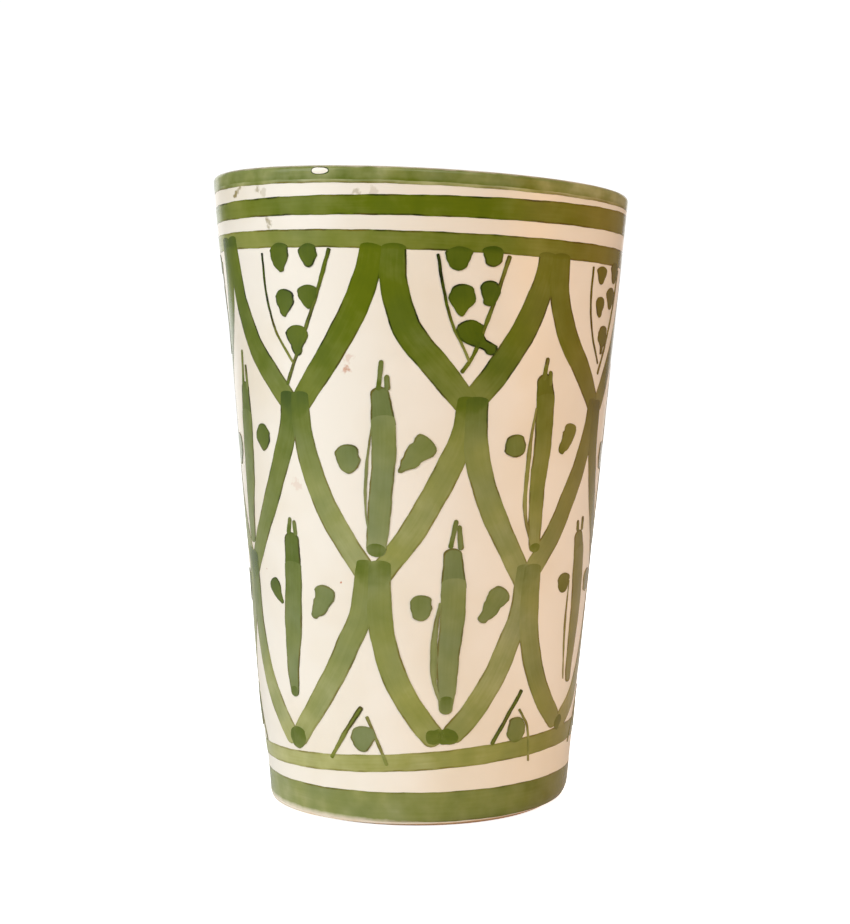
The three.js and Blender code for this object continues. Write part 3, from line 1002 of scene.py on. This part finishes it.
TILT_START = 96  # height from which the wall rises to the tilted lip
CENTRED = (2, 20)  # radii over which the wobble grows, from the true middle of the floor
RING_DEPTH = 0.08  # of the throwing rings
RING_WANDER = 0.6  # that their spiral runs ahead and behind in a turn
RINGS_START = (10, 18)  # heights over which the rings begin above the floor
RINGS_END = (108, 116)  # and where the potter smoothed them towards the lip
BEHIND_WALL = (2.2, 3.4)  # distances in from the outer face that still are it, and that are the inner one


def throw(piece, wall, sizes):
    """Moves a spun piece to the uneven shape that hands gave it."""
    points = points_of(piece.data) / MM
    radius = np.hypot(points[:, 0], points[:, 1])
    turn = np.arctan2(points[:, 0], -points[:, 1])
    angle, height = np.degrees(turn), points[:, 2]
    rise = wall.tilt(angle) * smooth(TILT_START, wall.end, height)
    inside = smooth(*BEHIND_WALL, wall.radius(height) - radius) * smooth(*RINGS_START, height)
    inside = inside * (1 - smooth(*RINGS_END, height))
    spiral = math.tau * height / (sizes.throwing_ring / MM) + turn
    rings = RING_DEPTH * inside * np.sin(spiral + RING_WANDER * np.sin(2 * turn))
    out = wall.sway(angle, height + rise) * smooth(*CENTRED, radius) + wall.slope * rise
    worn_out, worn_up = foot_wear(wall, sizes, angle, radius, height)
    radius = np.maximum(radius + out + rings + worn_out, 0)
    move(piece.data, round_axis(turn, radius, height + rise + worn_up))


def foot_wear(wall, sizes, angle, radius, height):
    """How far points of the foot move out and up, as its round is tighter at the left than at the right."""
    middle, level = wall.foot_centre(0)
    here, level_here = wall.foot_centre(angle)
    grown = wall.foot_at(angle)[0] - wall.foot
    on_round = (height < level) & (radius > middle)
    on_ring = (height < level) & (radius <= middle)
    turn = np.arctan2(height - level, radius - middle)
    inner = middle - sizes.foot_ring / MM
    share = np.clip((radius - inner) / (middle - inner), 0, 1)
    out = on_round * (here - middle + grown * np.cos(turn)) + on_ring * share * (here - middle)
    return out, on_round * (level_here - level + grown * np.sin(turn))


# Materials


def new_material(name):
    """Empty node material with its output and a shader."""
    material = bpy.data.materials.new(name)
    material.use_nodes = True
    tree = material.node_tree
    tree.nodes.clear()
    shader = tree.nodes.new("ShaderNodeBsdfPrincipled")
    output = tree.nodes.new("ShaderNodeOutputMaterial")
    tree.links.new(shader.outputs["BSDF"], output.inputs["Surface"])
    return material, tree, shader


def plug(tree, added, inputs):
    """Sets or links the inputs of a node, by their names or in their order."""
    for key, value in inputs.items() if isinstance(inputs, dict) else enumerate(inputs):
        if isinstance(value, bpy.types.NodeSocket):
            tree.links.new(value, added.inputs[key])
        else:
            added.inputs[key].default_value = value


def node(tree, kind, settings=(), inputs=(), out=0):
    """Adds a node with its settings and inputs, and gives one of its outputs, or itself for None.

    The inputs of a MapRange are its value, the two ends that this comes from and the two that it goes to.
    """
    added = tree.nodes.new("ShaderNode" + kind)
    for key, value in dict(settings).items():
        setattr(added, key, value)
    plug(tree, added, inputs)
    return added if out is None else added.outputs[out]


def rgba(value):
    return (*value, 1)


# Settings of nodes that come again and again, and the sockets of a Mix node for colours
SCALED_SUM = {"operation": "MULTIPLY_ADD"}
PRODUCT = {"operation": "MULTIPLY", "use_clamp": True}
SOFT = {"interpolation_type": "SMOOTHSTEP"}
OF_COLOURS = {"data_type": "RGBA"}
MIX_A, MIX_B, MIX_RESULT = 6, 7, 2

# Stains in the cream glaze: angle, height, size in mm, strength, and whether iron or wiped paint made it
STAINS = [
    (-21.2, 84.4, 1.1, 0.7, "rust"),
    (-20.4, 86.6, 1.3, 0.28, "rust"),
    (-39.8, 63.2, 1.6, 0.2, "rust"),
    (-24.9, 45.6, 0.3, 0.95, "rust"),
    (-59.1, 46.5, 0.3, 0.9, "rust"),
    (-59.5, 116.6, 1.0, 0.95, "smudge"),
    (-58.0, 117.2, 0.8, 0.6, "smudge"),
    (-56.2, 117.9, 0.7, 0.7, "smudge"),
    (-48.3, 116.9, 1.0, 0.6, "smudge"),
    (-46.0, 116.5, 1.1, 0.3, "smudge"),
    (-17.0, 115.8, 1.1, 0.45, "smudge"),
    (-12.6, 115.7, 1.2, 0.25, "smudge"),
    (-45.2, 111.4, 0.8, 0.45, "smudge"),
    (-44.3, 110.7, 1.0, 0.65, "smudge"),
]


def cream_glaze(colours, wall):
    """Tin-glazed earthenware, dipped: an opaque, soft-glossy cream that thins to the clay at the foot."""
    material, tree, shader = new_material("Cream tin glaze")
    place = node(tree, "TexCoord", out="Object")
    noise = {}
    for name, size, detail in (("cloud", 22, 3), ("peel", 3.2, 2), ("grain", 0.9, 2)):
        settings = {"Vector": place, "Scale": 1 / (size * MM), "Detail": detail}
        noise[name] = node(tree, "TexNoise", inputs=settings)
    thin = node(tree, "MapRange", inputs=(noise["cloud"], 0.42, 0.75))
    up = node(tree, "SeparateXYZ", inputs=(place,), out="Z")
    ragged = node(tree, "Math", SCALED_SUM, (noise["peel"], -3.2 * MM, up))
    foot = node(tree, "MapRange", inputs=(ragged, 0.2 * MM, -2.2 * MM, 0, 0.85))
    coats = [(thin, colours.cream_thin), (foot, colours.clay)]
    for angle, height, size, strength, kind in STAINS:
        spot = wall.place(np.array(angle), np.array(height), 0)
        away = node(tree, "VectorMath", {"operation": "DISTANCE"}, (place, spot), "Value")
        ragged = node(tree, "Math", SCALED_SUM, (noise["grain"], 2.4 * size * MM, away))
        stain = node(tree, "MapRange", SOFT, (ragged, 2.1 * size * MM, 1.5 * size * MM, 0, strength))
        coats.append((stain, getattr(colours, kind)))
    tint = rgba(colours.cream)
    for share, coat in coats:
        mix = {"Factor": share, MIX_A: tint, MIX_B: rgba(coat)}
        tint = node(tree, "Mix", OF_COLOURS, mix, MIX_RESULT)
    rough = node(tree, "MapRange", inputs=(noise["grain"], 0, 1, 0.26, 0.36))
    bump = node(tree, "Bump", inputs={"Height": noise["peel"], "Strength": 0.25, "Distance": 0.06 * MM})
    plug(tree, shader, {"Base Color": tint, "Roughness": rough, "Normal": bump})
    return material


BRISTLES = (0.5, 9)  # width and length of a bristle's streak
PAINT_STEPS = (0.15, 0.4, 0.7, 1.0)  # densities at which a paint has its thin, own, full and deep colour


def brushed_green(colours):
    """Copper-green glaze laid on with a flat brush: streaked, darker where it overlaps or pools. Its brown
    on the right is painted warm light, and its grey-green is partly painted sheen.
    """
    material, tree, shader = new_material("Brushed copper green")
    brush_map = node(tree, "UVMap", {"uv_map": "Brush"})
    values = {key: node(tree, "Attribute", {"attribute_name": key}, out="Fac") for key in PAINT_VALUES}
    streaks = (1 / BRISTLES[0], 1 / BRISTLES[1], 1)
    bristle = node(tree, "Mapping", inputs={"Vector": brush_map, "Scale": streaks})
    noise = {}
    for name, vector, size, detail in (
        ("streak", bristle, 1, 2),
        ("wash", brush_map, 5.5, 3),
        ("hue", brush_map, 9, 1),
        ("broken", brush_map, 2.4, 2),
    ):
        found = node(tree, "TexNoise", inputs={"Vector": vector, "Scale": 1 / size, "Detail": detail})
        noise[name] = node(tree, "MapRange", inputs=(found, 0, 1, -0.5, 0.5))
    for key, blend in (("under", 0.08), ("first_coat", 0.9), ("second_coat", 0.9)):
        values[key] = node(tree, "MapRange", inputs=(values[key], -0.08, blend))

    density = values["wet"]
    for amount, value in (
        (0.1, noise["streak"]),
        (values["patchy"], noise["wash"]),
        (0.16, values["first_coat"]),
        (0.1, values["second_coat"]),
    ):
        density = node(tree, "Math", SCALED_SUM, (value, amount, density))
    paints = []
    for stops in (
        (colours.olive_thin, colours.olive, colours.olive_full, colours.olive_deep),
        (colours.green_thin, colours.green, colours.green_full, colours.green_deep),
    ):
        ramp = node(tree, "ValToRGB", inputs={"Fac": density}, out=None)
        steps = ramp.color_ramp.elements
        for share in PAINT_STEPS[1:-1]:
            steps.new(share)
        for step, share, tint in zip(steps, PAINT_STEPS, stops):
            step.position = share
            step.color = rgba(tint)
        paints.append(ramp.outputs["Color"])
    # Painted sheen in part: the tone mixes towards the grey-green paints, lighter and greyer where the glaze
    # reflects the bright table
    tone = node(tree, "Math", SCALED_SUM, (noise["hue"], 1.2, values["tone"]))
    mix = {"Factor": tone, MIX_A: paints[0], MIX_B: paints[1]}
    tint = node(tree, "Mix", OF_COLOURS, mix, MIX_RESULT)

    # Dark line where paint gathered along an edge that lies on bare glaze
    line = node(tree, "MapRange", SOFT, (values["edge"], 0.42, 0.2))
    gaps = node(tree, "MapRange", inputs=(noise["broken"], -0.22, 0.04))
    settled = node(tree, "MapRange", inputs=(noise["hue"], -0.08, 0.08, 0.25))
    strong = node(tree, "Math", SCALED_SUM, (values["wet"], 0.7, 0.4))
    bare = node(tree, "Math", {"operation": "SUBTRACT"}, (1, values["under"]))
    for part in (gaps, settled, strong, bare):
        line = node(tree, "Math", PRODUCT, (line, part))
    heavy = node(tree, "Math", {"operation": "ADD"}, (values["wet"], noise["wash"]))
    burnt = node(tree, "MapRange", inputs=(heavy, 0.75, 0.4))
    mix = {"Factor": burnt, MIX_A: rgba(colours.pooled), MIX_B: rgba(colours.pooled_brown)}
    pool = node(tree, "Mix", OF_COLOURS, mix, MIX_RESULT)

    # Flecks rubbed off to the cream, and painted warm light: the paint is browned towards the right side,
    # though less on the lip
    thinned = node(tree, "Math", SCALED_SUM, (noise["broken"], 0.6, values["rubbed"]))
    wiped = node(tree, "MapRange", inputs=(thinned, 0.35, 1, 0, 0.9))
    place = node(tree, "TexCoord", out="Object")
    place = node(tree, "SeparateXYZ", inputs=(place,), out=None).outputs
    # Painted warm light: browner towards the right side of the cup (+X)
    warm_side = node(tree, "MapRange", SOFT, (place["X"], 14 * MM, 36 * MM, 0, 0.48))
    lip = node(tree, "MapRange", inputs=(place["Z"], 117 * MM, 115 * MM, 0.35))
    warm_light_brown = node(tree, "Math", PRODUCT, (warm_side, lip))
    over = ((line, pool), (wiped, rgba(colours.cream_thin)), (warm_light_brown, rgba(colours.painted_warm_light)))
    for share, coat in over:
        mix = {"Factor": share, MIX_A: tint, MIX_B: coat}
        tint = node(tree, "Mix", OF_COLOURS, mix, MIX_RESULT)
    rough = node(tree, "MapRange", inputs=(noise["streak"], -0.5, 0.5, 0.16, 0.3))
    bump = node(tree, "Bump", inputs={"Height": noise["streak"], "Strength": 0.2, "Distance": 0.04 * MM})
    plug(tree, shader, {"Base Color": tint, "Roughness": rough, "Normal": bump, "Specular IOR Level": 0.18})
    return material


def bare_earthenware(colours):
    """Fired earthenware, trimmed on the wheel and left unglazed: matt, sandy and toasted in patches."""
    material, tree, shader = new_material("Bare earthenware")
    place = node(tree, "TexCoord", out="Object")
    toast = node(tree, "TexNoise", inputs={"Vector": place, "Scale": 1 / (9 * MM), "Detail": 4})
    grit = node(tree, "TexNoise", inputs={"Vector": place, "Scale": 1 / (0.5 * MM), "Detail": 3})
    mix = {"Factor": toast, MIX_A: rgba(colours.clay), MIX_B: rgba(colours.clay_dark)}
    tint = node(tree, "Mix", OF_COLOURS, mix, MIX_RESULT)
    bump = node(tree, "Bump", inputs={"Height": grit, "Strength": 0.6, "Distance": 0.15 * MM})
    plug(tree, shader, {"Base Color": tint, "Roughness": 0.85, "Normal": bump})
    return material


def cup_of(context):
    """Sizes of the cup, and its wall."""
    sizes = context.scene.cup_sizes
    return sizes, Wall(sizes)


def green(context):
    """The green paint, made once."""
    return bpy.data.materials.get("Brushed copper green") or brushed_green(context.scene.cup_colours)


# Operators


class CUP_OT_clay(bpy.types.Operator):
    """Throw the clay body with its trimmed foot ring"""

    bl_idname = "cup.clay"
    bl_label = "Clay Body"

    def execute(self, context):
        sizes, wall = cup_of(context)
        inside = Inside(wall, sizes)
        glaze = sizes.glaze / MM
        recess = sizes.foot_recess / MM
        centre = wall.foot_centre(0)
        ring_inside = centre[0] - sizes.foot_ring / MM
        side = [(ring_inside + out, share * recess + up) for out, share, up in RING_SIDE]
        foot = arc(centre, wall.foot - glaze, -math.pi / 2, -wall.lean, FOOT_STEPS)
        middle = (0, recess)
        under = [middle, *straight(middle, side[0], WALL_STEP), *side]
        outer = [*under, *straight(side[-1], foot[0], RING_STEP), *foot]
        piece = lathe(profile_of(wall, inside, glaze, outer))
        throw(piece, wall, sizes)
        bpy.ops.object.shade_smooth_by_angle(angle=HAND_ANGLE)
        clay = bare_earthenware(context.scene.cup_colours)
        keep(piece, "clay_thrown", clay, "clay", "clay_body")
        return {"FINISHED"}


class CUP_OT_glaze(bpy.types.Operator):
    """Coat the clay in cream glaze, wiped off the foot"""

    bl_idname = "cup.glaze"
    bl_label = "Cream Glaze"

    def execute(self, context):
        sizes, wall = cup_of(context)
        inside = Inside(wall, sizes)
        centre = wall.foot_centre(0)
        low = math.asin((BARE_FOOT - centre[1]) / wall.foot)
        outer = arc(centre, wall.foot, low, -wall.lean, GLAZED_FOOT_STEPS)
        piece = lathe(profile_of(wall, inside, 0, outer))
        throw(piece, wall, sizes)
        apply_shell(piece, sizes.glaze)
        cream = cream_glaze(context.scene.cup_colours, wall)
        keep(piece, "glaze_cream", cream, "cream_glaze", "glaze_coat")
        return {"FINISHED"}


class CUP_OT_bands(bpy.types.Operator):
    """Brush the bands round lip and base"""

    bl_idname = "cup.bands"
    bl_label = "Bands"

    def execute(self, context):
        sizes, wall = cup_of(context)
        for node_name, strokes in bands(wall).items():
            piece = brush(wall, strokes, [], sizes.paint)
            keep(piece, node_name + "_brushed", green(context), "olive_paint", node_name)
        spot_ring_stroke, bare = lip_spot(wall)
        keep(brush(wall, [spot_ring_stroke], [], sizes.paint), "lip_spot_edge", green(context), "olive_paint")
        cream = bpy.data.materials["Cream tin glaze"]
        keep(brush(wall, [bare], [], sizes.paint), "lip_spot", cream, "cream_glaze")
        return {"FINISHED"}


class CUP_OT_lattice(bpy.types.Operator):
    """Brush the lattice of arched strokes"""

    bl_idname = "cup.lattice"
    bl_label = "Lattice"

    def execute(self, context):
        sizes, wall = cup_of(context)
        piece = brush(wall, lattice(wall, sizes), all_bands(wall), sizes.paint)
        keep(piece, "lattice_brushed", green(context), "green_paint", "lattice")
        return {"FINISHED"}


class CUP_OT_leaves(bpy.types.Operator):
    """Brush a leaf in each cell of the lattice"""

    bl_idname = "cup.leaves"
    bl_label = "Leaves"

    def execute(self, context):
        sizes, wall = cup_of(context)
        under = lattice(wall, sizes)
        for prefix, seen in (("upper_leaf_", UPPER_LEAVES), ("lower_leaf_", LOWER_LEAVES)):
            for i, parts in enumerate(leaf_columns(seen, sizes.columns)):
                node_name = node_at(prefix, parts.body[1][0])
                piece = brush(wall, leaf(wall, parts, 200 + 10 * i), under, sizes.paint)
                keep(piece, node_name + "_brushed", green(context), "green_paint", node_name)
        return {"FINISHED"}


class CUP_OT_small_marks(bpy.types.Operator):
    """Brush the berries, their lines, the dots beside the leaves, the chevrons and the dabs at the base"""

    bl_idname = "cup.small_marks"
    bl_label = "Small Marks"

    def execute(self, context):
        sizes, wall = cup_of(context)
        under = all_bands(wall) + lattice(wall, sizes)
        kinds = [
            ("hair_lines", HAIR_LINES, LEAF_LAYER),
            ("berries", BERRIES, LAST_LAYER),
            ("upper_dots", UPPER_DOTS, LAST_LAYER),
            ("lower_dots", LOWER_DOTS, LAST_LAYER),
            ("chevrons", CHEVRONS, LEAF_LAYER),
            ("base_dots", BASE_DOTS, LAST_LAYER),
            ("base_dabs", BASE_DABS, LEAF_LAYER),
        ]
        for i, (name, groups, layer) in enumerate(kinds):
            strokes = marks(wall, groups, sizes.columns, layer, 300 + 100 * i)
            keep(brush(wall, strokes, under, sizes.paint), name, green(context), "green_paint")
            under += strokes
        return {"FINISHED"}


WHITE = (1, 1, 1, 1)
FLOOR_GLOW = 0.95  # that the camera sees of the white floor
WORLD_LIGHT = 0.2  # strength of the white world as a light, and as the camera sees it
WORLD_SEEN = 1.05
FLOOR_SIZE = 6
FLOOR_FRONT = 0.3  # from the middle of the cup to the front edge of the table
CAMERA_PLACE = (0, -0.3553, 0.08448)
CAMERA_TURN = (87.052, -0.153, 0.619)  # degrees from straight down, to the left, and of roll
CAMERA_LENS = 69.606  # for a sensor 36 mm wide


def area_light(name, place, target, size, power, hex_colour):
    """Soft box that the camera doesn't see, turned to a target."""
    data = bpy.data.lights.new(name, "AREA")
    data.shape = "RECTANGLE"
    data.size, data.size_y = size
    data.energy = power
    data.color = linear(hex_colour)
    light = bpy.data.objects.new(name, data)
    light.location = place
    light.rotation_euler = (Vector(target) - Vector(place)).to_track_quat("-Z", "Y").to_euler()
    light.visible_camera = False
    bpy.context.scene.collection.objects.link(light)


class CUP_OT_stage(bpy.types.Operator):
    """Set the white floor, the soft lights and the camera"""

    bl_idname = "cup.stage"
    bl_label = "Stage"

    def execute(self, context):
        scene = context.scene
        bpy.ops.object.select_all(action="DESELECT")
        bpy.ops.mesh.primitive_plane_add(size=FLOOR_SIZE, location=(0, FLOOR_SIZE / 2 - FLOOR_FRONT, 0))
        bpy.ops.object.transform_apply(location=True)
        floor = context.object
        floor.name = "floor"
        paper, tree, shader = new_material("White paper sweep")
        seen = node(tree, "LightPath", out="Is Camera Ray")
        glow = node(tree, "MapRange", inputs=(seen, 0, 1, 0, FLOOR_GLOW))
        plug(tree, shader, {"Base Color": rgba(scene.cup_colours.floor), "Roughness": 0.9})
        plug(tree, shader, {"Emission Color": WHITE, "Emission Strength": glow})
        floor.data.materials.append(paper)

        world = bpy.data.worlds.new("White studio")
        scene.world = world
        world.use_nodes = True
        tree = world.node_tree
        seen = node(tree, "LightPath", out="Is Camera Ray")
        strength = node(tree, "MapRange", inputs=(seen, 0, 1, WORLD_LIGHT, WORLD_SEEN))
        plug(tree, tree.nodes["Background"], {"Color": WHITE, "Strength": strength})

        target = (0, 0, 0.06)
        area_light("Key from the left", (-0.85, -0.4, 0.45), target, (0.6, 0.7), 7.4, "#F4F9FF")
        area_light("White card behind", (-0.09, 0.75, 0.16), (-0.09, 0, 0.16), (0.82, 0.5), 1.6, "#FFFFFF")
        area_light("Fill from above", (0.1, -0.8, 0.9), target, (0.9, 0.5), 6.3, "#FFFFFF")
        area_light("Warm light from the right", (0.75, -0.4, 0.25), target, (0.4, 0.5), 2.7, "#FFBF76")

        data = bpy.data.cameras.new("Camera")
        data.lens = CAMERA_LENS
        data.sensor_width = 36
        data.clip_start = 0.01
        camera = bpy.data.objects.new("Camera", data)
        down, left, roll = (math.radians(a) for a in CAMERA_TURN)
        camera.matrix_world = (
            Matrix.Translation(CAMERA_PLACE)
            @ Matrix.Rotation(left, 4, "Z")
            @ Matrix.Rotation(down, 4, "X")
            @ Matrix.Rotation(roll, 4, "Z")
        )
        scene.collection.objects.link(camera)
        scene.camera = camera
        scene.view_settings.view_transform = "Standard"
        return {"FINISHED"}


class CUP_PT_panel(bpy.types.Panel):
    """Steps that make the cup, in order"""

    bl_idname = "CUP_PT_panel"
    bl_label = "Painted Pottery Cup"
    bl_space_type = "VIEW_3D"
    bl_region_type = "UI"
    bl_category = "Cup"

    def draw(self, context):
        for operator in OPERATORS:
            self.layout.operator(operator.bl_idname)
        for group in (context.scene.cup_sizes, context.scene.cup_colours):
            for key in group.__annotations__:
                self.layout.prop(group, key)


OPERATORS = (
    CUP_OT_clay,
    CUP_OT_glaze,
    CUP_OT_bands,
    CUP_OT_lattice,
    CUP_OT_leaves,
    CUP_OT_small_marks,
    CUP_OT_stage,
)
CLASSES = (CupSizes, CupColours, *OPERATORS, CUP_PT_panel)


def register():
    for cls in CLASSES:
        bpy.utils.register_class(cls)
    bpy.types.Scene.cup_sizes = PointerProperty(type=CupSizes)
    bpy.types.Scene.cup_colours = PointerProperty(type=CupColours)


def unregister():
    del bpy.types.Scene.cup_colours
    del bpy.types.Scene.cup_sizes
    for cls in reversed(CLASSES):
        bpy.utils.unregister_class(cls)


def main():
    register()
    bpy.ops.cup.clay()
    bpy.ops.cup.glaze()
    bpy.ops.cup.bands()
    bpy.ops.cup.lattice()
    bpy.ops.cup.leaves()
    bpy.ops.cup.small_marks()
    bpy.ops.cup.stage()


if __name__ == "__main__":
    main()
